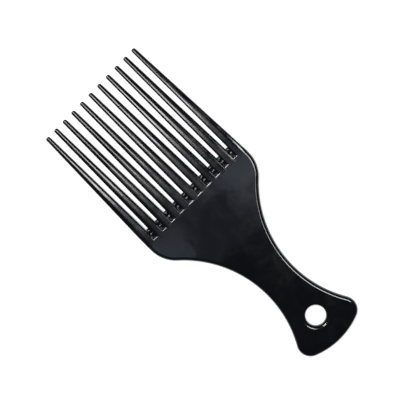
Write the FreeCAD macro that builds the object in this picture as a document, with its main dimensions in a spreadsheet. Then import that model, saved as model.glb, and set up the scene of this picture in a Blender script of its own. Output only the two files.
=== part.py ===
# Afro pick: a flat moulded comb with long tapering teeth and a waisted handle.
# It lies on its back: teeth towards +Y, thickness along Z, origin under its middle.
import FreeCAD, Part
import math
import os
import Sketcher

Vector = FreeCAD.Vector
Circle = Part.Circle
Arc = Part.ArcOfCircle
Line = Part.LineSegment
Rule = Sketcher.Constraint

up = Vector(0, 0, 1)
# The sketcher's own numbers: places on an element, its two axes and its origin.
start, end, centre = range(1, 4)
level_axis, upright_axis = range(-1, -3, -1)
origin_point = (level_axis, start)

# Driving dimensions in millimetres, and one count.
size_table = [
    ("overall_length", 170.0, "handle end to tooth tips"),
    ("body_thickness", 5.0, "handle, face to face"),
    ("edge_round", 1.8, "rounding of the handle's rim"),
    ("tooth_count", 11, "teeth in the row"),
    ("tooth_length", 71.9, "paddle front to tooth tip"),
    ("tooth_root_width", 4.98, "inner tooth at the paddle"),
    ("outer_tooth_root_width", 5.49, "first and last tooth at the paddle"),
    ("root_gap", 1.15, "space between two teeth at the paddle"),
    ("tooth_drop", 0.1, "tooth root below the paddle face"),
    ("tip_diameter", 2.3, "tooth near its tip"),
    ("tip_flat", 0.16, "what is left of each flat side there"),
    ("tip_bevel", 0.6, "bevelled end of a tooth, across"),
    ("tip_bevel_length", 0.75, "bevelled end of a tooth, along it"),
    ("tip_gap", 3.72, "space between two teeth near the tips"),
    ("outer_tip_inset", 0.34, "how far the outer tips lean in from the even spacing"),
    ("web_front_length", 2.95, "lower land of a web, at the gap"),
    ("web_rear_length", 2.92, "upper land of a web, at the paddle"),
    ("web_front_thickness", 1.4, "web at the gap"),
    ("web_rise", 0.7, "from the lower land to the upper one, on each face"),
    ("web_front_bevel", 0.4, "front edges of the lower land"),
    ("web_rear_bevel", 0.35, "front edges of the upper land"),
    ("scallop_bevel", 0.65, "bevelled paddle edge between two teeth"),
    ("side_run", 2.5, "straight side from the paddle front to the shoulder"),
    ("shoulder_radius", 16.8, "outer curve of the paddle"),
    ("neck_width", 19.2, "narrowest place of the handle"),
    ("neck_from_end", 41.0, "narrowest place to the handle's end"),
    ("corner_radius", 6.8, "flared corners of the handle's end"),
    ("end_radius", 37.8, "bowed end of the handle"),
    ("hole_diameter", 10.0, "hang hole"),
    ("hole_from_end", 16.7, "hang hole centre to the handle's end"),
    ("hole_round", 1.8, "rounded rims of the hang hole"),
    ("cut_overrun", 2.0, "how far every cutting profile reaches past the solid"),
]

# A rounding or bevel takes at most this share of the wall between its two edges.
round_limit_share = 0.45

doc = FreeCAD.newDocument("afro_pick")
sheet = doc.addObject("Spreadsheet::Sheet", "sizes")
for row, (alias, value, note) in enumerate(size_table, start=1):
    sheet.set(f"A{row}", alias)
    sheet.set(f"B{row}", str(value))
    sheet.set(f"C{row}", note)
    sheet.setAlias(f"B{row}", alias)
doc.recompute()


# The smaller of a rounding or bevel and the share of its wall that it may take.
def limited(rounding, wall):
    return f"min({rounding}; {round_limit_share} * {wall})"


# Places and sizes that follow from the sheet, as expressions.
half_length = "(sizes.overall_length / 2)"
half_thickness = "(sizes.body_thickness / 2)"
handle_length = "(sizes.overall_length - sizes.tooth_length)"
paddle_front = f"({half_length} - sizes.tooth_length)"
root_pitch = "(sizes.tooth_root_width + sizes.root_gap)"
tip_pitch = "(sizes.tip_diameter + sizes.tip_gap)"
half_count = "((sizes.tooth_count - 1) / 2)"
outer_inner_side = f"({half_count} * {root_pitch} - sizes.tooth_root_width / 2)"
half_width = f"({outer_inner_side} + sizes.outer_tooth_root_width)"
root_thickness = "(sizes.body_thickness - 2 * sizes.tooth_drop)"
rim_round = limited(limited("sizes.edge_round", root_thickness), "sizes.tooth_root_width")
tooth_round = "((sizes.tip_diameter - sizes.tip_flat) / 2)"
hole_round = limited("sizes.hole_round", "sizes.body_thickness")
scallop_bevel = limited("sizes.scallop_bevel", "sizes.body_thickness")
web_length = "(sizes.web_front_length + sizes.web_rear_length)"
web_rear_thickness = "(sizes.web_front_thickness + 2 * sizes.web_rise)"
web_front_bevel = limited("sizes.web_front_bevel", "sizes.web_front_thickness")
web_rear_bevel = limited("sizes.web_rear_bevel", "(2 * sizes.web_rise)")


def value_of(expression):
    return float(sheet.evalExpression(expression))


def bind(target, place, expression):
    target.setExpression(place, expression)


# Adds a dimension to a sketch and ties it to the sheet.
def add_size(sketch, kind, places, expression):
    index = sketch.addConstraint(Rule(kind, *places, value_of(expression)))
    bind(sketch, f"Constraints[{index}]", expression)


# Gives one coordinate of a point as a distance from the sketch's origin, on either side of it.
def add_offset(sketch, kind, point, side, expression):
    pair = (*origin_point, *point) if side > 0 else (*point, *origin_point)
    add_size(sketch, kind, pair, expression)


# Joins sketch elements, each pair given as the places that the rule takes.
def join(sketch, kind, pairs):
    for pair in pairs:
        sketch.addConstraint(Rule(kind, *pair))


# Adds a closed ring of straight lines through points given as pairs of numbers.
def add_polygon(sketch, places):
    points = [Vector(across, rise, 0) for across, rise in places]
    lines = [sketch.addGeometry(Line(*pair)) for pair in zip(points, points[1:] + points[:1])]
    meetings = [(line, end, after, start) for line, after in zip(lines, lines[1:] + lines[:1])]
    join(sketch, "Coincident", meetings)
    return lines


# A body's own origin lies on the pick's mid-plane.
def add_body(label, across, along):
    body = doc.addObject("PartDesign::Body", label)
    bind(body, ".Placement.Base.x", across)
    bind(body, ".Placement.Base.y", along)
    bind(body, ".Placement.Base.z", half_thickness)
    return body


def origin_feature(body, role):
    return next(item for item in body.Origin.OriginFeatures if item.Role == role)


def add_sketch(body, name, role):
    sketch = body.newObject("Sketcher::SketchObject", name)
    sketch.AttachmentSupport = [(origin_feature(body, role), "")]
    sketch.MapMode = "FlatFace"
    return sketch


# A pad or pocket that reaches as far to one side of its sketch as to the other.
def add_even_feature(body, kind, name, profile, length):
    doc.recompute()
    feature = body.newObject(f"PartDesign::{kind}", name)
    feature.Profile = profile
    feature.SideType = "Symmetric"
    if length:
        bind(feature, "Length", length)
    else:
        feature.Type = "ThroughAll"
    doc.recompute()
    return feature


# Dresses the chosen edges of a feature with a fillet or a chamfer.
def add_dressing(body, kind, name, base, is_chosen, size_property, size):
    edges = enumerate(base.Shape.Edges, start=1)
    dressing = body.newObject(f"PartDesign::{kind}", name)
    dressing.Base = (base, [f"Edge{number}" for number, edge in edges if is_chosen(edge)])
    bind(dressing, size_property, size)
    doc.recompute()
    return dressing


def add_fillet(body, name, base, is_chosen, radius):
    return add_dressing(body, "Fillet", name, base, is_chosen, "Radius", radius)


def add_chamfer(body, name, base, is_chosen, size):
    return add_dressing(body, "Chamfer", name, base, is_chosen, "Size", size)


# Handle: the paddle, the waist and the flared end as one outline.


# Centres of the outline's arcs on the +X side, with the handle's end at zero.
def outline_centres():
    shoulder_round = value_of("sizes.shoulder_radius")
    shoulder_across = value_of(half_width) - shoulder_round
    shoulder = Vector(shoulder_across, value_of(f"{handle_length} - sizes.side_run"), 0)
    half_neck = value_of("sizes.neck_width / 2")
    neck_place = value_of("sizes.neck_from_end")
    rise = half_neck - shoulder.x
    reach = shoulder.y - neck_place
    waist_round = (reach**2 + rise**2 - shoulder_round**2) / (2 * (shoulder_round - rise))
    waist = Vector(half_neck + waist_round, neck_place, 0)
    corner_round = value_of("sizes.corner_radius")
    end_round = value_of("sizes.end_radius")
    bow = Vector(0, end_round, 0)
    apart = waist - bow
    from_bow = end_round - corner_round
    from_waist = waist_round + corner_round
    along = (apart.Length**2 + from_bow**2 - from_waist**2) / (2 * apart.Length)
    aside = math.sqrt(from_bow**2 - along**2)
    direction = apart / apart.Length
    corner = bow + direction * along + direction.cross(up) * aside
    return shoulder, waist, waist_round, corner, bow


def angle_to(origin, target):
    return math.atan2(target.y - origin.y, target.x - origin.x)


# Adds an arc of the +X side, or its mirror image on the -X side, where its ends change places.
def add_side_arc(sketch, hand, middle, radius, low, high):
    place = Vector(hand * middle.x, middle.y, 0)
    turns = (low, high) if hand > 0 else (math.pi - high, math.pi - low)
    return sketch.addGeometry(Arc(Circle(place, up, radius), *turns))


def add_outline(body):
    sketch = add_sketch(body, "outline", "XY_Plane")
    shoulder, waist, waist_round, corner, bow = outline_centres()
    side = value_of(half_width)
    front = value_of(handle_length)
    front_line = sketch.addGeometry(Line(Vector(-side, front, 0), Vector(side, front, 0)))
    bow_turn = angle_to(bow, corner)
    bow_circle = Circle(bow, up, value_of("sizes.end_radius"))
    end_arc = sketch.addGeometry(Arc(bow_circle, -math.pi - bow_turn, bow_turn))
    join(sketch, "Symmetric", [(front_line, start, front_line, end, upright_axis)])
    add_size(sketch, "DistanceX", (front_line, start, front_line, end), f"2 * {half_width}")
    add_offset(sketch, "DistanceY", (front_line, start), 1, handle_length)
    add_size(sketch, "Radius", (end_arc,), "sizes.end_radius")
    join(sketch, "PointOnObject", [(end_arc, centre, upright_axis)])
    add_offset(sketch, "DistanceY", (end_arc, centre), 1, "sizes.end_radius")

    to_waist = angle_to(shoulder, waist)
    to_corner = angle_to(waist, corner)
    for hand in (1, -1):
        low, high = (start, end) if hand > 0 else (end, start)
        foot = Vector(hand * side, shoulder.y, 0)
        side_line = sketch.addGeometry(Line(Vector(hand * side, front, 0), foot))
        shoulder_arc = add_side_arc(
            sketch, hand, shoulder, value_of("sizes.shoulder_radius"), to_waist, 0
        )
        waist_arc = add_side_arc(
            sketch, hand, waist, waist_round, to_waist + math.pi, to_corner + 2 * math.pi
        )
        corner_arc = add_side_arc(
            sketch, hand, corner, value_of("sizes.corner_radius"), bow_turn, to_corner + math.pi
        )
        join(sketch, "Coincident", [(front_line, high, side_line, start)])
        join(sketch, "Vertical", [(side_line,)])
        meetings = [
            (side_line, end, shoulder_arc, high),
            (shoulder_arc, low, waist_arc, low),
            (waist_arc, high, corner_arc, high),
            (corner_arc, low, end_arc, high),
        ]
        join(sketch, "Tangent", meetings)
        add_size(sketch, "DistanceY", (side_line, end, side_line, start), "sizes.side_run")
        add_size(sketch, "Radius", (shoulder_arc,), "sizes.shoulder_radius")
        add_size(sketch, "Radius", (corner_arc,), "sizes.corner_radius")
        neck = Vector(hand * value_of("sizes.neck_width / 2"), waist.y, 0)
        neck_point = sketch.addGeometry(Part.Point(neck), True)
        add_offset(sketch, "DistanceX", (neck_point, start), hand, "sizes.neck_width / 2")
        add_offset(sketch, "DistanceY", (neck_point, start), 1, "sizes.neck_from_end")
        join(sketch, "PointOnObject", [(neck_point, start, waist_arc)])
        join(sketch, "Horizontal", [(neck_point, start, waist_arc, centre)])
    return sketch


# Closed profile over one front edge of the paddle, seen from the side: what its bevel removes.
def add_scallop_profile(sketch, face):
    front = value_of(handle_length)
    top = face * value_of(half_thickness)
    bevel = value_of(scallop_bevel)
    over = value_of("sizes.cut_overrun")
    back = (front - bevel, top)
    foot = (front, top - face * bevel)
    ahead = (front + over, top - face * bevel)
    peak = (front + over, top + face * over)
    above = (front - bevel, top + face * over)
    slope, reach, rise, cover, drop = add_polygon(sketch, [back, foot, ahead, peak, above])
    join(sketch, "Horizontal", [(reach,), (cover,)])
    join(sketch, "Vertical", [(rise,), (drop,)])
    add_offset(sketch, "DistanceX", (slope, start), 1, f"{handle_length} - {scallop_bevel}")
    add_offset(sketch, "DistanceY", (slope, start), face, half_thickness)
    add_offset(sketch, "DistanceX", (slope, end), 1, handle_length)
    add_offset(sketch, "DistanceY", (slope, end), face, f"{half_thickness} - {scallop_bevel}")
    add_offset(sketch, "DistanceX", (cover, start), 1, f"{handle_length} + sizes.cut_overrun")
    add_offset(sketch, "DistanceY", (cover, start), face, f"{half_thickness} + sizes.cut_overrun")


def make_handle():
    body = add_body("handle", "0", f"-{half_length}")
    slab = add_even_feature(body, "Pad", "slab", add_outline(body), "sizes.body_thickness")
    front = value_of(handle_length)

    # The rim is rounded all round both faces, apart from the front, where the teeth stand.
    def is_rim(edge):
        first, last = (vertex.Point for vertex in edge.Vertexes)
        in_front = math.isclose(first.y, front) and math.isclose(last.y, front)
        return math.isclose(first.z, last.z) and not in_front

    add_fillet(body, "rim", slab, is_rim, rim_round)

    hole_sketch = add_sketch(body, "hole_circle", "XY_Plane")
    hole_radius = value_of("sizes.hole_diameter / 2")
    hole_place = Vector(0, value_of("sizes.hole_from_end"), 0)
    ring = hole_sketch.addGeometry(Circle(hole_place, up, hole_radius))
    join(hole_sketch, "PointOnObject", [(ring, centre, upright_axis)])
    add_offset(hole_sketch, "DistanceY", (ring, centre), 1, "sizes.hole_from_end")
    add_size(hole_sketch, "Radius", (ring,), "sizes.hole_diameter / 2")
    hole = add_even_feature(body, "Pocket", "hang_hole", hole_sketch, None)

    def is_hole_rim(edge):
        return isinstance(edge.Curve, Circle) and math.isclose(edge.Curve.Radius, hole_radius)

    add_fillet(body, "hole_rims", hole, is_hole_rim, hole_round)

    # One scallop for each gap, reaching under the rounded corners of the two teeth beside it.
    scallop_sketch = add_sketch(body, "scallop_profile", "YZ_Plane")
    bind(scallop_sketch, ".AttachmentOffset.Base.z", f"-({half_count} - 0.5) * {root_pitch}")
    for face in (1, -1):
        add_scallop_profile(scallop_sketch, face)
    scallop_length = f"sizes.root_gap + 2 * {tooth_round}"
    scallop = add_even_feature(body, "Pocket", "scallop", scallop_sketch, scallop_length)
    row = body.newObject("PartDesign::LinearPattern", "scallop_row")
    row.Originals = [scallop]
    row.Direction = (origin_feature(body, "X_Axis"), [""])
    bind(row, "Length", f"(2 * {half_count} - 1) * {root_pitch}")
    bind(row, "Occurrences", f"2 * {half_count}")
    body.Tip = row
    doc.recompute()
    return body


# Teeth: blocks that taper both ways, with rounded long edges and a rounded-off end.


# Seen from above: wide at the paddle, narrow at the tip, which may lean to one side.
def add_tooth_plan(body, root_width, lean):
    sketch = add_sketch(body, "plan", "XY_Plane")
    wide = value_of(f"{root_width} / 2")
    narrow = value_of("sizes.tip_diameter / 2")
    shift = value_of(lean)
    length = value_of("sizes.tooth_length")
    places = [(-wide, 0), (wide, 0), (shift + narrow, length), (shift - narrow, length)]
    root, right, tip, left = add_polygon(sketch, places)
    join(sketch, "Symmetric", [(root, start, root, end, *origin_point)])
    join(sketch, "Horizontal", [(root,), (tip,)])
    add_size(sketch, "DistanceX", (root, start, root, end), root_width)
    add_size(sketch, "DistanceX", (tip, end, tip, start), "sizes.tip_diameter")
    add_offset(sketch, "DistanceY", (tip, start), 1, "sizes.tooth_length")
    add_offset(sketch, "DistanceX", (tip, start), 1, f"{lean} + sizes.tip_diameter / 2")
    return sketch


# Seen from the side: what lies above the slope of one face.
def add_slope_profile(sketch, face):
    thick = face * value_of(f"{root_thickness} / 2")
    thin = face * value_of("sizes.tip_diameter / 2")
    top = thick + face * value_of("sizes.cut_overrun")
    length = value_of("sizes.tooth_length")
    places = [(0, thick), (length, thin), (length, top), (0, top)]
    slope, front, cover, back = add_polygon(sketch, places)
    join(sketch, "Vertical", [(front,), (back,)])
    join(sketch, "Horizontal", [(cover,)])
    join(sketch, "PointOnObject", [(slope, start, upright_axis)])
    add_offset(sketch, "DistanceY", (slope, start), face, f"{root_thickness} / 2")
    add_offset(sketch, "DistanceY", (slope, end), face, "sizes.tip_diameter / 2")
    add_offset(sketch, "DistanceX", (slope, end), 1, "sizes.tooth_length")
    add_offset(sketch, "DistanceY", (cover, start), face, f"{root_thickness} / 2 + sizes.cut_overrun")


# A triangle beside the tip, seen from above or from the side: what one bevel removes.
def add_tip_bevel(sketch, side, along_is_first):
    half_tip = value_of("sizes.tip_diameter / 2")
    bevel = value_of("sizes.tip_bevel")
    tip = value_of("sizes.tooth_length")
    foot = tip - 2 * value_of("sizes.tip_bevel_length")
    inner = side * (half_tip - bevel)
    outer = side * (half_tip + bevel)
    places = [(inner, tip), (outer, foot), (outer, tip)]
    across_kind, along_kind, across_rule, along_rule = "DistanceX", "DistanceY", "Horizontal", "Vertical"
    if along_is_first:
        places = [(along, across) for across, along in places]
        across_kind, along_kind = along_kind, across_kind
        across_rule, along_rule = along_rule, across_rule
    slope, wall, cover = add_polygon(sketch, places)
    join(sketch, along_rule, [(wall,)])
    join(sketch, across_rule, [(cover,)])
    add_offset(sketch, along_kind, (cover, start), 1, "sizes.tooth_length")
    add_offset(sketch, along_kind, (wall, start), 1, "sizes.tooth_length - 2 * sizes.tip_bevel_length")
    add_offset(sketch, across_kind, (slope, start), side, "sizes.tip_diameter / 2 - sizes.tip_bevel")
    add_offset(sketch, across_kind, (wall, start), side, "sizes.tip_diameter / 2 + sizes.tip_bevel")


def make_tooth(number, offset, outermost):
    side = math.copysign(1, offset)
    if outermost:
        root_width = "sizes.outer_tooth_root_width"
        root_place = f"{side} * ({outer_inner_side} + {root_width} / 2)"
        tip_place = f"({offset} * {tip_pitch} - {side} * sizes.outer_tip_inset)"
    else:
        root_width = "sizes.tooth_root_width"
        root_place = f"{offset} * {root_pitch}"
        tip_place = f"{offset} * {tip_pitch}"
    lean = f"({tip_place} - {root_place})"
    body = add_body(f"tooth_{number:02d}", root_place, paddle_front)
    plan = add_tooth_plan(body, root_width, lean)
    add_even_feature(body, "Pad", "block", plan, root_thickness)
    slopes = add_sketch(body, "slopes", "YZ_Plane")
    for face in (1, -1):
        add_slope_profile(slopes, face)
    wedge = add_even_feature(body, "Pocket", "wedge", slopes, None)
    length = value_of("sizes.tooth_length")

    def is_long(edge):
        first, last = (vertex.Point for vertex in edge.Vertexes)
        return not math.isclose(first.y, last.y, abs_tol=length / 2)

    add_fillet(body, "long_edges", wedge, is_long, tooth_round)
    for name, role, along_is_first in (("sides", "XY_Plane", False), ("faces", "YZ_Plane", True)):
        bevels = add_sketch(body, f"tip_{name}_profile", role)
        if not along_is_first:
            bind(bevels, ".AttachmentOffset.Base.x", lean)
        for side in (1, -1):
            add_tip_bevel(bevels, side, along_is_first)
        add_even_feature(body, "Pocket", f"tip_{name}", bevels, None)
    return body


# Root webs: stepped bridges that fill the root of each gap between two teeth.


def make_web(number, offset, neighbours):
    blank = add_body(f"web_blank_{number:02d}", f"{offset} * {root_pitch}", paddle_front)
    sketch = add_sketch(blank, "step_profile", "YZ_Plane")
    length = value_of(web_length)
    step = value_of("sizes.web_rear_length")
    low = value_of("sizes.web_front_thickness / 2")
    high = value_of(f"{web_rear_thickness} / 2")
    places = [(0, high), (step, high), (step, low), (length, low)]
    places += [(along, -rise) for along, rise in reversed(places)]
    lines = add_polygon(sketch, places)
    join(sketch, "Horizontal", [(line,) for line in lines[0::2]])
    join(sketch, "Vertical", [(line,) for line in lines[1::2]])
    rear_top, front_top, front_bottom, rear_bottom = lines[0::2]
    join(sketch, "PointOnObject", [(rear_top, start, upright_axis)])
    add_size(sketch, "DistanceX", (rear_top, start, rear_top, end), "sizes.web_rear_length")
    add_size(sketch, "DistanceX", (front_top, start, front_top, end), "sizes.web_front_length")
    join(sketch, "Vertical", [(front_top, start, front_bottom, end)])
    for face, rear, front in ((1, rear_top, front_top), (-1, rear_bottom, front_bottom)):
        add_offset(sketch, "DistanceY", (rear, start), face, f"{web_rear_thickness} / 2")
        add_offset(sketch, "DistanceY", (front, start), face, "sizes.web_front_thickness / 2")
    block = add_even_feature(blank, "Pad", "block", sketch, root_pitch)

    def edges_at(along, rise):
        def is_there(edge):
            place = edge.CenterOfMass
            return math.isclose(place.y, along) and math.isclose(abs(place.z), rise)

        return is_there

    steps = add_chamfer(blank, "steps", block, edges_at(step, high), web_rear_bevel)
    add_chamfer(blank, "nose", steps, edges_at(length, low), web_front_bevel)

    web = blank
    for tooth in neighbours:
        cut = doc.addObject("Part::Cut", f"{blank.Name}_beside_{tooth.Name}")
        cut.Base = web
        cut.Tool = tooth
        web = cut
    web.Label = f"root_web_{number:02d}"
    doc.recompute()
    return web


count = int(value_of("sizes.tooth_count"))
middle_place = (count - 1) / 2
handle = make_handle()
teeth = [
    make_tooth(index + 1, index - middle_place, index in (0, count - 1)) for index in range(count)
]
webs = [
    make_web(index + 1, index + 0.5 - middle_place, teeth[index : index + 2])
    for index in range(count - 1)
]
subparts = [handle, *teeth, *webs]

doc.recompute()
faulty = [item.Name for item in doc.Objects if {"Invalid", "Error"} & set(item.State)]
faulty += [item.Label for item in subparts if item.Shape.isNull() or not item.Shape.isValid()]
if faulty:
    raise RuntimeError("objects that did not build: " + ", ".join(faulty))

os.makedirs("parts", exist_ok=True)
for item in subparts:
    item.Shape.exportStep(f"parts/{item.Label}.step")
    box = item.Shape.optimalBoundingBox()
    across = f"X {box.XMin:.2f} to {box.XMax:.2f}"
    along = f"Y {box.YMin:.2f} to {box.YMax:.2f}"
    thick = f"Z {box.ZMin:.2f} to {box.ZMax:.2f}"
    print(f"{item.Label}: {item.Shape.Volume:.1f} mm3, {across}, {along}, {thick}")
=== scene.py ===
import math

import bmesh
import bpy
from mathutils import Matrix, Vector


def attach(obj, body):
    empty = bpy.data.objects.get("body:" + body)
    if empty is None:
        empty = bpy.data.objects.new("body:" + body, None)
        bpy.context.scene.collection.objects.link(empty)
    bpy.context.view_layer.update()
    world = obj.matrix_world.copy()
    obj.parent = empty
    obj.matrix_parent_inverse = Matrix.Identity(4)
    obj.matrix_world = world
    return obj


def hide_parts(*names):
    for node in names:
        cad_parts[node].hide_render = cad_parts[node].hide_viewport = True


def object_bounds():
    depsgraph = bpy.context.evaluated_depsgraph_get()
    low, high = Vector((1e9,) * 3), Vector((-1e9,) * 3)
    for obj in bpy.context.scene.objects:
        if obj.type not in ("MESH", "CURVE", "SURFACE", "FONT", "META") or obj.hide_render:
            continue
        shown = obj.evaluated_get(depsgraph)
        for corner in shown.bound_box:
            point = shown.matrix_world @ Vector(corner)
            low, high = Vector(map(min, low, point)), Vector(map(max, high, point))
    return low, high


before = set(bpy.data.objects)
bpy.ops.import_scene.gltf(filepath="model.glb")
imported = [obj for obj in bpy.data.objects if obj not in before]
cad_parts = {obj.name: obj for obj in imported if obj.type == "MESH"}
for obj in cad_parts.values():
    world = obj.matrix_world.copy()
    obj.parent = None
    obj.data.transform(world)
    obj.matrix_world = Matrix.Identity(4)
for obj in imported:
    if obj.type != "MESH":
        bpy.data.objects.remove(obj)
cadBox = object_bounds()
mm = 0.001  # the frame is in metres, the values in the dictionaries below in millimetres
midHeight = (cadBox[0].z + cadBox[1].z) / 2
print("frame loaded:", len(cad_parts), "nodes")


# A hex colour as linear light, with full alpha.
def linear(hexColour):
    channels = [int(hexColour[place:place + 2], 16) / 255 for place in (1, 3, 5)]
    return [c / 12.92 if c <= 0.04045 else ((c + 0.055) / 1.055) ** 2.4 for c in channels] + [1]


# Settings are the node's own properties or, by socket name or number, its inputs.
def addNode(tree, kind, settings=None, links=None):
    node = tree.nodes.new(kind)
    for name, value in (settings or {}).items():
        if isinstance(name, str) and hasattr(node, name):
            setattr(node, name, value)
        else:
            node.inputs[name].default_value = value
    for name, source in (links or {}).items():
        tree.links.new(source, node.inputs[name])
    return node


def newMaterial(name):
    material = bpy.data.materials.new(name)
    material.use_nodes = True
    material.node_tree.nodes.clear()
    return material


plasticLook = {
    "dark": "#08080a",
    "light": "#0c0c0f",
    "ior": 1.59,
    "polished": 0.07,
    "handled": 0.16,
    "smudgeSize": 12.0,
    "smudgeDetail": 5.0,
    "smudgeSwirl": 0.6,
    "smudgeRange": (0.4, 0.7),  # levels of the noise between which the gloss clouds over
    "flowSize": 10.0,
    "flowDetail": 2.0,
    "flowHeight": 0.05,
    "grainSize": 1.2,
    "grainDetail": 3.0,
    "grainHeight": 0.00004,
}


# Noise with features of about the given size.
def addNoise(tree, place, size, detail, swirl=0.0):
    settings = {"Scale": 1 / (size * mm), "Detail": detail, "Distortion": swirl}
    return addNode(tree, "ShaderNodeTexNoise", settings, {"Vector": place}).outputs["Fac"]


# Polystyrene, injection moulded in a polished mould: a deep black that takes its tone from what it
# reflects, a slow waviness where the melt flowed, a trace of grain, and gloss clouded by handling.
def mouldedPolystyrene(look):
    material = newMaterial("polystyreneMouldedGlossBlack")
    tree = material.node_tree
    place = addNode(tree, "ShaderNodeTexCoord").outputs["Object"]
    flow = addNoise(tree, place, look["flowSize"], look["flowDetail"])
    # real grain is a few hundredths of a millimetre, drawn coarser so that it shows
    grain = addNoise(tree, place, look["grainSize"], look["grainDetail"])
    # sockets 6 and 7 of a colour mix are its two colours, and its output 2 is the mixed one
    colour = addNode(
        tree, "ShaderNodeMix",
        {"data_type": "RGBA", 6: linear(look["dark"]), 7: linear(look["light"])},
        {"Factor": flow},
    )
    # the gloss is dulled in patches where fingers have been
    smudge = addNoise(tree, place, look["smudgeSize"], look["smudgeDetail"], look["smudgeSwirl"])
    least, most = look["smudgeRange"]
    gloss = addNode(
        tree, "ShaderNodeMapRange",
        {"From Min": least, "From Max": most, "To Min": look["polished"], "To Max": look["handled"]},
        {"Value": smudge},
    )
    waves = addNode(
        tree, "ShaderNodeBump", {"Strength": 1.0, "Distance": look["flowHeight"] * mm},
        {"Height": flow},
    )
    fine = addNode(
        tree, "ShaderNodeBump", {"Strength": 1.0, "Distance": look["grainHeight"] * mm},
        {"Height": grain, "Normal": waves.outputs["Normal"]},
    )
    links = {
        "Base Color": colour.outputs[2],
        "Roughness": gloss.outputs["Result"],
        "Normal": fine.outputs["Normal"],
    }
    shader = addNode(tree, "ShaderNodeBsdfPrincipled", {"IOR": look["ior"]}, links)
    addNode(tree, "ShaderNodeOutputMaterial", None, {"Surface": shader.outputs["BSDF"]})
    return material


blackPlastic = mouldedPolystyrene(plasticLook)
print("plastic made")


# Gaps in millimetres and angles in degrees: what counts as one point, as near, as a sharp edge.
meshFinish = {
    "mergeGap": 0.0005,
    "seamGap": 0.001,
    "near": 0.01,
    "sharpAngle": 60.0,
    "creaseAngle": 35.0,
    "normalWeight": 100,
}
near = meshFinish["near"] * mm
sharp = math.radians(meshFinish["sharpAngle"])


# Turns a bmesh into a smooth piece that stands for one CAD node.
def finishPiece(bm, name, node):
    gap = meshFinish["mergeGap"] * mm
    bmesh.ops.remove_doubles(bm, verts=bm.verts, dist=gap)
    bmesh.ops.dissolve_degenerate(bm, dist=gap, edges=bm.edges)
    bmesh.ops.recalc_face_normals(bm, faces=bm.faces)
    mesh = bpy.data.meshes.new(name)
    bm.to_mesh(mesh)
    bm.free()
    mesh.shade_smooth()
    mesh.set_sharp_from_angle(angle=math.radians(meshFinish["creaseAngle"]))
    mesh.materials.append(blackPlastic)
    piece = bpy.data.objects.new(name, mesh)
    bpy.context.scene.collection.objects.link(piece)
    even = piece.modifiers.new("evenNormals", "WEIGHTED_NORMAL")
    even.weight = meshFinish["normalWeight"]
    even.keep_sharp = True
    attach(piece, "root")
    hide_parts(node)


def roundEdges(bm, edges, radius, steps):
    bmesh.ops.bevel(
        bm, geom=edges, offset=radius * mm, offset_type="OFFSET", segments=steps, profile=0.5,
        affect="EDGES", material=-1, clamp_overlap=False,
    )


handleShape = {
    "halfWidth": 33.65,
    "front": 13.1,
    "end": -85.0,
    "thickness": 5.0,
    "sideRun": 2.5,
    "shoulderRadius": 16.8,
    "neckWidth": 19.2,
    "neckFromEnd": 41.0,
    "cornerRadius": 6.8,
    "endRadius": 37.8,
    "holeRadius": 5.0,
    "holeFromEnd": 16.7,
    "rimRound": 1.8,
    "holeRound": 1.8,
    "frontLip": 1.2,  # how far the rounded front edge overhangs the tooth roots
    "frontRound": 1.3,
    "frontReach": 30.6,  # where that edge ends, under the outer teeth
    "frontFade": 0.5,  # across which it falls back to the front
    "roundSteps": 8,
    "degreesPerStep": 2.0,
}


# Swings the last vertex of an outline about a centre, leaving an arc behind it.
def swing(bm, vert, centre, turn, shape):
    steps = max(2, round(abs(math.degrees(turn)) / shape["degreesPerStep"]))
    made = bmesh.ops.spin(
        bm, geom=[vert], cent=(centre.x * mm, centre.y * mm, 0), axis=(0, 0, 1),
        angle=turn, steps=steps,
    )
    return [item for item in made["geom_last"] if isinstance(item, bmesh.types.BMVert)][0]


def drawTo(bm, vert, x, y):
    made = bmesh.ops.extrude_vert_indiv(bm, verts=[vert])["verts"][0]
    made.co = (x * mm, y * mm, 0)
    return made


def direction(fromPoint, toPoint):
    return math.atan2(toPoint.y - fromPoint.y, toPoint.x - fromPoint.x)


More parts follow.
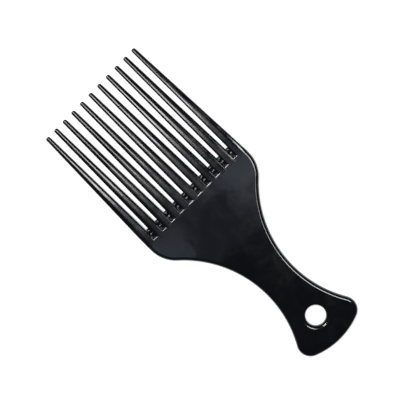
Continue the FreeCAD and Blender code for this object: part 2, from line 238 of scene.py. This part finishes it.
def makeHandle(shape):
    neckY = shape["end"] + shape["neckFromEnd"]
    bow = Vector((0, shape["end"] + shape["endRadius"]))
    shoulderRadius = shape["shoulderRadius"]
    shoulder = Vector((shape["halfWidth"] - shoulderRadius, shape["front"] - shape["sideRun"]))
    # the waist's arc passes the neck and touches the shoulder's arc
    across = shape["neckWidth"] / 2 - shoulder.x
    along = neckY - shoulder.y
    waistRadius = across ** 2 + along ** 2 - shoulderRadius ** 2
    waistRadius /= 2 * (shoulderRadius - across)
    waist = Vector((shape["neckWidth"] / 2 + waistRadius, neckY))
    # the corner's arc touches the bowed end inside and the waist outside
    fromBow = shape["endRadius"] - shape["cornerRadius"]
    fromWaist = waistRadius + shape["cornerRadius"]
    span = (waist - bow).length
    reach = (fromBow ** 2 - fromWaist ** 2 + span ** 2) / (2 * span)
    spread = math.acos(reach / fromBow)
    bowTurn = direction(bow, waist) - spread
    corner = bow + fromBow * Vector((math.cos(bowTurn), math.sin(bowTurn)))
    hole = Vector((0, shape["end"] + shape["holeFromEnd"]))
    lipY = shape["front"] + shape["frontLip"]

    bm = bmesh.new()
    first = bm.verts.new((0, shape["end"] * mm, 0))
    last = swing(bm, first, bow, bowTurn + math.pi / 2, shape)
    last = swing(bm, last, corner, direction(corner, waist) - bowTurn, shape)
    waistTurn = direction(waist, shoulder) - direction(waist, corner)
    last = swing(bm, last, waist, waistTurn - 2 * math.pi, shape)
    last = swing(bm, last, shoulder, -direction(shoulder, waist), shape)
    last = drawTo(bm, last, shape["halfWidth"], shape["front"])
    # the front's rounded lip ends under the outer teeth
    last = drawTo(bm, last, shape["frontReach"] + shape["frontFade"], shape["front"])
    last = drawTo(bm, last, shape["frontReach"], lipY)
    last = drawTo(bm, last, 0, lipY)
    last = drawTo(bm, last, 0, hole.y + shape["holeRadius"])
    last = swing(bm, last, hole, -math.pi, shape)
    bmesh.ops.contextual_create(bm, geom=[last, first])
    bmesh.ops.edgeloop_fill(bm, edges=bm.edges)
    everything = bm.verts[:] + bm.edges[:] + bm.faces[:]
    seamGap = meshFinish["seamGap"] * mm
    bmesh.ops.mirror(bm, geom=everything, axis="X", merge_dist=seamGap)
    bmesh.ops.remove_doubles(bm, verts=bm.verts, dist=seamGap)
    made = bmesh.ops.extrude_face_region(bm, geom=bm.faces[:])["geom"]
    raised = [item for item in made if isinstance(item, bmesh.types.BMVert)]
    bmesh.ops.translate(bm, verts=raised, vec=(0, 0, shape["thickness"] * mm))
    bmesh.ops.recalc_face_normals(bm, faces=bm.faces)

    rim, holeRim, lip = [], [], []
    for edge in bm.edges:
        low, high = edge.verts
        if abs(low.co.z - high.co.z) > near or edge.calc_face_angle() < sharp:
            continue
        middle = (low.co + high.co) / 2
        if middle.y > shape["front"] * mm - near:
            if middle.y > lipY * mm - near:
                lip.append(edge)
        elif (middle.xy - hole * mm).length < shape["holeRadius"] * mm + near:
            holeRim.append(edge)
        else:
            rim.append(edge)
    steps = shape["roundSteps"]
    roundEdges(bm, lip, shape["frontRound"], steps)
    roundEdges(bm, [edge for edge in rim if edge.is_valid], shape["rimRound"], steps)
    roundEdges(bm, [edge for edge in holeRim if edge.is_valid], shape["holeRound"], steps)
    finishPiece(bm, "handleBody", "handle")


makeHandle(handleShape)
print("handle made")


toothShape = {
    "count": 11,
    "rootWidth": 4.98,
    "outerRootWidth": 5.49,
    "rootGap": 1.15,
    "tipWidth": 2.3,
    "tipGap": 3.72,
    "outerTipInset": 0.34,
    "rootThickness": 4.99,
    "rootInset": 1.0,  # how far the roots start behind the paddle's front
    "tipY": 85.0,
    "rootCrown": 0.015,
    "tipCrown": 0.3,
    "edgeRound": 0.84,
    "easeLength": 7.0,
    "easeCuts": (0.7, 1.0),  # shares of the rim's rounding
    "roundSteps": 8,
}


# Moves one end of a cube of half size 1 mm to its place and gives it its width and thickness.
def placeEnd(bm, verts, x, y, width, thickness):
    bmesh.ops.scale(bm, vec=(width / 2, 1, thickness / 2), verts=verts)
    shift = y * mm - verts[0].co.y
    bmesh.ops.translate(bm, vec=(x * mm, shift, midHeight), verts=verts)


# Brings the outer edge of an outer tooth's root down to the paddle's fuller rim, easing off along
# the tooth. It is first cut lengthwise at shares of the rim's rounding, so that it can bend there.
def easeIntoRim(bm, side, shape):
    radius, outside = handleShape["rimRound"] * mm, handleShape["halfWidth"] * mm
    cuts = [((side * (outside - part * radius), 0, 0), (1, 0, 0)) for part in shape["easeCuts"]]
    cuts.append(((0, (handleShape["front"] + shape["easeLength"]) * mm, 0), (0, 1, 0)))
    for point, facing in cuts:
        everything = bm.verts[:] + bm.edges[:] + bm.faces[:]
        bmesh.ops.bisect_plane(bm, geom=everything, plane_co=point, plane_no=facing)
    for vert in bm.verts:
        inside = max(0, outside - side * vert.co.x)
        if vert.co.y < handleShape["front"] * mm and inside < radius:
            depth = radius - inside
            most = handleShape["thickness"] * mm / 2 - radius + math.sqrt(radius ** 2 - depth ** 2)
            vert.co.z = midHeight + max(-most, min(most, vert.co.z - midHeight))
            vert.co.x = side * (outside - inside)


# A cube drawn out to a taper, crowned and rounded. The outer teeth are wider and lean in.
def makeTooth(shape, number):
    half = (shape["count"] - 1) / 2
    step = number - 1 - half
    rootX = step * (shape["rootWidth"] + shape["rootGap"])
    tipX = step * (shape["tipWidth"] + shape["tipGap"])
    rootWidth, rootThickness = shape["rootWidth"], shape["rootThickness"]
    rootY = handleShape["front"]
    if abs(step) == half:
        side = math.copysign(1, step)
        rootWidth = shape["outerRootWidth"]
        rootX += side * (shape["outerRootWidth"] - shape["rootWidth"]) / 2
        tipX -= side * shape["outerTipInset"]
    # the taper is carried on under the paddle's rounded front
    more = shape["rootInset"] / (shape["tipY"] - rootY)
    rootX += (rootX - tipX) * more
    rootWidth += (rootWidth - shape["tipWidth"]) * more
    rootThickness += (rootThickness - shape["tipWidth"]) * more
    rootY -= shape["rootInset"]
    bm = bmesh.new()
    bmesh.ops.create_cube(bm, size=2 * mm)
    across = [edge for edge in bm.edges if abs(edge.verts[0].co.x - edge.verts[1].co.x) > near]
    bmesh.ops.subdivide_edges(bm, edges=across, cuts=1, use_grid_fill=True)
    root = [vert for vert in bm.verts if vert.co.y < 0]
    tip = [vert for vert in bm.verts if vert.co.y > 0]
    ridge = [vert for vert in bm.verts if abs(vert.co.x) < near]
    # both broad faces rise to a low ridge, more so towards the tip
    ends = [
        (root, rootX, rootY, rootWidth, rootThickness, shape["rootCrown"]),
        (tip, tipX, shape["tipY"], shape["tipWidth"], shape["tipWidth"], shape["tipCrown"]),
    ]
    for verts, x, y, width, thickness, crown in ends:
        rise = thickness / (thickness - 2 * crown)
        bmesh.ops.scale(bm, vec=(1, 1, rise), verts=[vert for vert in ridge if vert in verts])
        placeEnd(bm, verts, x, y, width, thickness - 2 * crown)
    rounded = [
        edge for edge in bm.edges
        if any(vert in tip for vert in edge.verts) and edge.calc_face_angle() > sharp
    ]
    roundEdges(bm, rounded, shape["edgeRound"], shape["roundSteps"])
    if abs(step) == half:
        easeIntoRim(bm, side, shape)
    finishPiece(bm, f"tooth{number:02d}", f"tooth_{number:02d}")


for number in range(1, toothShape["count"] + 1):
    makeTooth(toothShape, number)
print("teeth made")


webShape = {
    "width": 2.4,
    "rearLength": 3.65,
    "frontLength": 1.91,
    "noseLength": 0.89,
    "rearThickness": 2.8,
    "frontThickness": 1.4,
    "noseThickness": 0.5,
    "rearSlope": 0.34,  # how far the land sinks, on each face
    "frontSlope": 0.28,
    "rearRound": 0.5,
    "frontRound": 0.4,
    "roundSteps": 5,
}


# Draws out the end of a web, made thinner or thicker, and returns the new end's vertices.
def carryOn(bm, verts, thicker, length):
    end = [face for face in bm.faces if all(vert in verts for vert in face.verts)]
    made = bmesh.ops.extrude_face_region(bm, geom=end)["geom"]
    made = [item for item in made if isinstance(item, bmesh.types.BMVert)]
    bmesh.ops.delete(bm, geom=[face for face in end if face.is_valid], context="FACES_ONLY")
    about = Matrix.Translation((0, 0, -midHeight))
    bmesh.ops.scale(bm, vec=(1, 1, thicker), verts=made, space=about)
    bmesh.ops.translate(bm, verts=made, vec=(0, length * mm, 0))
    return made


# A stepped bridge between two tooth roots: a thick land at the paddle and a thinner one, both sinking
# a little towards the paddle, and a thin nose at the gap.
def makeWeb(shape, number):
    pitch = toothShape["rootWidth"] + toothShape["rootGap"]
    middle = (number - toothShape["count"] / 2) * pitch
    rearY = handleShape["front"]
    stepY = rearY + shape["rearLength"]
    bm = bmesh.new()
    bmesh.ops.create_cube(bm, size=2 * mm)
    rear = [vert for vert in bm.verts if vert.co.y < 0]
    ahead = [vert for vert in bm.verts if vert.co.y > 0]
    rearFoot = shape["rearThickness"] - 2 * shape["rearSlope"]
    placeEnd(bm, rear, middle, rearY, shape["width"], rearFoot)
    placeEnd(bm, ahead, middle, stepY, shape["width"], shape["rearThickness"])
    frontFoot = shape["frontThickness"] - 2 * shape["frontSlope"]
    inner = carryOn(bm, ahead, frontFoot / shape["rearThickness"], 0)
    outer = carryOn(bm, inner, shape["frontThickness"] / frontFoot, shape["frontLength"])
    nose = carryOn(bm, outer, shape["noseThickness"] / shape["frontThickness"], 0)
    carryOn(bm, nose, 1, shape["noseLength"])
    bmesh.ops.recalc_face_normals(bm, faces=bm.faces)
    level = [edge for edge in bm.edges if abs(edge.verts[0].co.x - edge.verts[1].co.x) > near]
    step = [edge for edge in level if all(vert in ahead for vert in edge.verts)]
    brink = [edge for edge in level if all(vert in outer for vert in edge.verts)]
    steps = shape["roundSteps"]
    roundEdges(bm, brink, shape["frontRound"], steps)
    roundEdges(bm, [edge for edge in step if edge.is_valid], shape["rearRound"], steps)
    finishPiece(bm, f"rootWeb{number:02d}", f"root_web_{number:02d}")


for number in range(1, toothShape["count"]):
    makeWeb(webShape, number)
print("webs made")


studio = {
    "floorSize": 4000.0,
    "floorDrop": 0.02,
    "floorColour": "#e6e6e6",
    "floorRoughness": 0.9,
    "floorGlow": 0.66,
    "horizon": 0.1,
    "horizonHeight": 0.25,  # sine of the angle above the floor
    "ceiling": 0.065,
    "ceilingHeight": 0.7,  # the same for the ceiling
    "skyTint": "#c9d3ee",
}


# White paper: lit like any pale floor, so it keeps the shadow, and lifted to white where it is seen,
# straight or in a reflection.
def paperFloor(values):
    material = newMaterial("paperMattWhite")
    tree = material.node_tree
    path = addNode(tree, "ShaderNodeLightPath")
    seen = addNode(
        tree, "ShaderNodeMath", {"operation": "MAXIMUM"},
        {0: path.outputs["Is Camera Ray"], 1: path.outputs["Is Glossy Ray"]},
    )
    seen = addNode(
        tree, "ShaderNodeMath", {"operation": "MAXIMUM"},
        {0: seen.outputs[0], 1: path.outputs["Is Transmission Ray"]},
    )
    glow = addNode(
        tree, "ShaderNodeMath", {"operation": "MULTIPLY", 1: values["floorGlow"]},
        {0: seen.outputs[0]},
    )
    paper = {
        "Base Color": linear(values["floorColour"]),
        "Roughness": values["floorRoughness"],
        "Emission Color": (1, 1, 1, 1),
    }
    shader = addNode(
        tree, "ShaderNodeBsdfPrincipled", paper, {"Emission Strength": glow.outputs[0]},
    )
    addNode(tree, "ShaderNodeOutputMaterial", None, {"Surface": shader.outputs["BSDF"]})
    bm = bmesh.new()
    bmesh.ops.create_grid(bm, x_segments=1, y_segments=1, size=values["floorSize"] * mm / 2)
    bmesh.ops.translate(bm, verts=bm.verts, vec=(0, 0, -values["floorDrop"] * mm))
    mesh = bpy.data.meshes.new("floor")
    bm.to_mesh(mesh)
    bm.free()
    mesh.materials.append(material)
    floor = bpy.data.objects.new("floor", mesh)
    bpy.context.scene.collection.objects.link(floor)


# White all round to the camera; to the object a dim bluish room, darker overhead.
def studioWorld(values):
    world = bpy.data.worlds.new("studio")
    bpy.context.scene.world = world
    world.use_nodes = True
    tree = world.node_tree
    tree.nodes.clear()
    path = addNode(tree, "ShaderNodeLightPath")
    place = addNode(tree, "ShaderNodeTexCoord")
    height = addNode(tree, "ShaderNodeSeparateXYZ", None, {"Vector": place.outputs["Generated"]})
    rise = {
        "From Min": values["horizonHeight"], "From Max": values["ceilingHeight"],
        "To Min": values["horizon"], "To Max": values["ceiling"],
    }
    level = addNode(tree, "ShaderNodeMapRange", rise, {"Value": height.outputs["Z"]})
    room = addNode(
        tree, "ShaderNodeBackground", {"Color": linear(values["skyTint"])},
        {"Strength": level.outputs["Result"]},
    )
    white = addNode(tree, "ShaderNodeBackground", {"Color": (1, 1, 1, 1), "Strength": 1.0})
    both = addNode(
        tree, "ShaderNodeMixShader", None,
        {0: path.outputs["Is Camera Ray"], 1: room.outputs[0], 2: white.outputs[0]},
    )
    addNode(tree, "ShaderNodeOutputWorld", None, {"Surface": both.outputs[0]})


paperFloor(studio)
studioWorld(studio)
print("floor and surroundings made")


# Soft boxes: place of the middle, width and height, how bright the face is, and its colour. They face
# straight down or, where an aim is given, that point.
softBoxes = {
    "overTips": {"place": (-72, 236, 900), "size": (66, 264), "face": 14.0, "colour": "#ffffff"},
    "overTeeth": {"place": (-80, 95, 900), "size": (180, 70), "face": 1.05, "colour": "#ffffff"},
    "overRoots": {"place": (-85, 30, 900), "size": (190, 60), "face": 0.26, "colour": "#c9d3ee"},
    "rightSide": {"place": (215, -78, 800), "size": (250, 224), "face": 14.0, "colour": "#ffffff"},
    "behindTips": {
        "place": (-85, 520, 880), "aim": (-40, 0, 0),
        "size": (260, 130), "face": 46.0, "colour": "#ffffff",
    },
    "overPaddle": {"place": (-40, -14, 400), "size": (150, 70), "face": 0.17, "colour": "#c9d3ee"},
    "overRightShoulder": {"place": (6, -8, 399), "size": (36, 30), "face": 0.9, "colour": "#c9d3ee"},
    "overLeftShoulder": {"place": (-84, -14, 399), "size": (36, 30), "face": 0.75, "colour": "#c9d3ee"},
}


def hangSoftBox(name, box):
    data = bpy.data.lights.new(name, "AREA")
    data.shape = "RECTANGLE"
    data.size, data.size_y = (side * mm for side in box["size"])
    data.energy = box["face"] * math.pi * data.size * data.size_y  # watts for that brightness of the face
    data.color = linear(box["colour"])[:3]
    lamp = bpy.data.objects.new(name, data)
    lamp.visible_camera = False
    place = Vector(box["place"])
    aim = Vector(box.get("aim", (place.x, place.y, 0)))
    lamp.location = place * mm
    lamp.rotation_euler = (aim - place).to_track_quat("-Z", "Y").to_euler()
    bpy.context.scene.collection.objects.link(lamp)


for name, box in softBoxes.items():
    hangSoftBox(name, box)
print("lamps hung")


# The picture is square, so the lens angle is the same both ways. The leans are in degrees.
cameraSetting = {
    "aim": (0.6, 5.58, 3.0),
    "leanX": 5.0,
    "leanY": 2.05,
    "distance": 560.0,
    "frameWidth": 201.24,
    "upward": (0.7146, 0.6995, 0),
}


def setCamera(values):
    data = bpy.data.cameras.new("camera")
    data.sensor_fit = "HORIZONTAL"
    data.angle = 2 * math.atan(values["frameWidth"] / 2 / values["distance"])
    camera = bpy.data.objects.new("camera", data)
    leanX, leanY = math.radians(values["leanX"]), math.radians(values["leanY"])
    towards = Vector((math.tan(leanX), math.tan(leanY), 1)).normalized()
    upward = Vector(values["upward"])
    upward = (upward - upward.dot(towards) * towards).normalized()
    right = upward.cross(towards)
    turn = Matrix((right, upward, towards)).transposed().to_4x4()
    place = (Vector(values["aim"]) + values["distance"] * towards) * mm
    camera.matrix_world = Matrix.Translation(place) @ turn
    bpy.context.scene.collection.objects.link(camera)
    bpy.context.scene.camera = camera


setCamera(cameraSetting)
bpy.context.scene.view_settings.view_transform = "Standard"
print("camera set")
